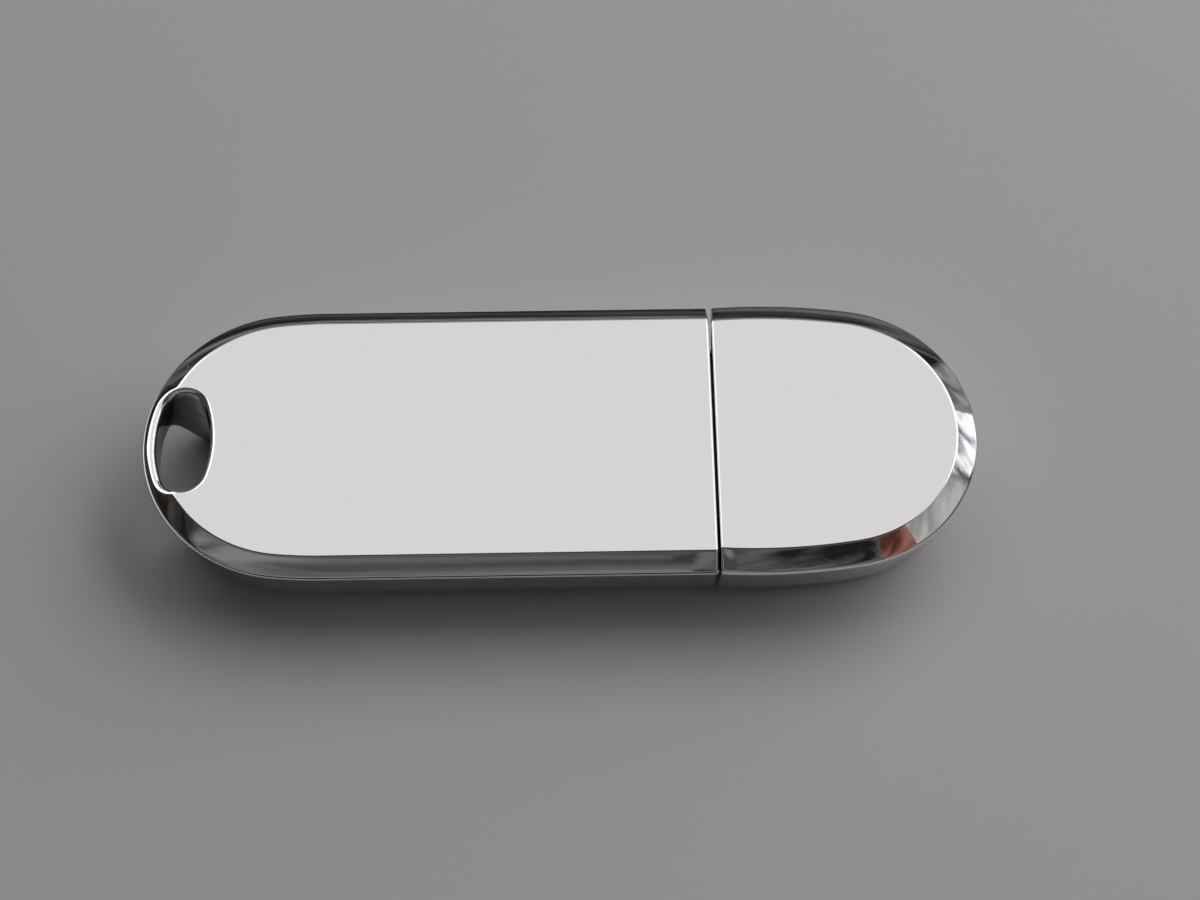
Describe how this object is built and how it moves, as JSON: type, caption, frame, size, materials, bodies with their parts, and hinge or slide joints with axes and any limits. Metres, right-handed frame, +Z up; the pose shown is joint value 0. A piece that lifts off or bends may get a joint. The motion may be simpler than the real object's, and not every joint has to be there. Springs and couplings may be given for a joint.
{
  "type": "usb flash drive",
  "caption": "Oblong metal USB flash drive with a pull-off cap over a type A plug and an oval key-ring slot at the other end.",
  "frame": {"origin": "middle of the capped drive's footprint, on the surface it lies on", "axes": "+X along the drive towards the cap's tip and the plug's mouth, +Z up out of the flat top"},
  "size_m": [0.0699, 0.0254, 0.009],
  "materials": {
    "case_chrome": "mirror-polished plating on zinc castings",
    "plug_steel": "nickel-plated stamped steel, satin",
    "contact_gold": "thin gold plating",
    "black_plastic": "moulded, fine matt texture",
    "tongue_plastic": "moulded glass-filled nylon",
    "board_green": "solder mask over copper",
    "chip_black": "moulded epoxy",
    "lead_tin": "matt tin plating",
    "crystal_steel": "drawn can",
    "capacitor_tan": "fired ceramic",
    "resistor_black": "glazed",
    "tray_grey": "moulded",
    "film_amber": "polyimide film",
    "foam_grey": "closed-cell foam"
  },
  "bodies": {
    "drive": {"upper_cover": "case_chrome", "lower_shell": "case_chrome", "plug_collar": "black_plastic", "usb_plug_shell": "plug_steel", "plug_insulator": "tongue_plastic", "contact_vbus": "contact_gold", "contact_data_minus": "contact_gold", "contact_data_plus": "contact_gold", "contact_ground": "contact_gold", "circuit_board": "board_green", "board_carrier": "tray_grey", "controller_chip": "chip_black", "controller_leads": "lead_tin", "flash_memory_chip": "chip_black", "flash_memory_leads": "lead_tin", "crystal_base": "black_plastic", "crystal_can": "crystal_steel", "voltage_regulator": "chip_black", "regulator_leads": "lead_tin", "ceramic_capacitors": "capacitor_tan", "chip_resistors": "resistor_black", "insulating_film": "film_amber", "foam_pad": "foam_grey"},
    "cap": {"cap_shell": "case_chrome", "cap_liner": "black_plastic"}
  },
  "joints": [
    {"name": "cap_slide", "type": "slide", "parent": "drive", "child": "cap", "axis": [1, 0, 0], "range_m": [0, 0.03]}
  ]
}
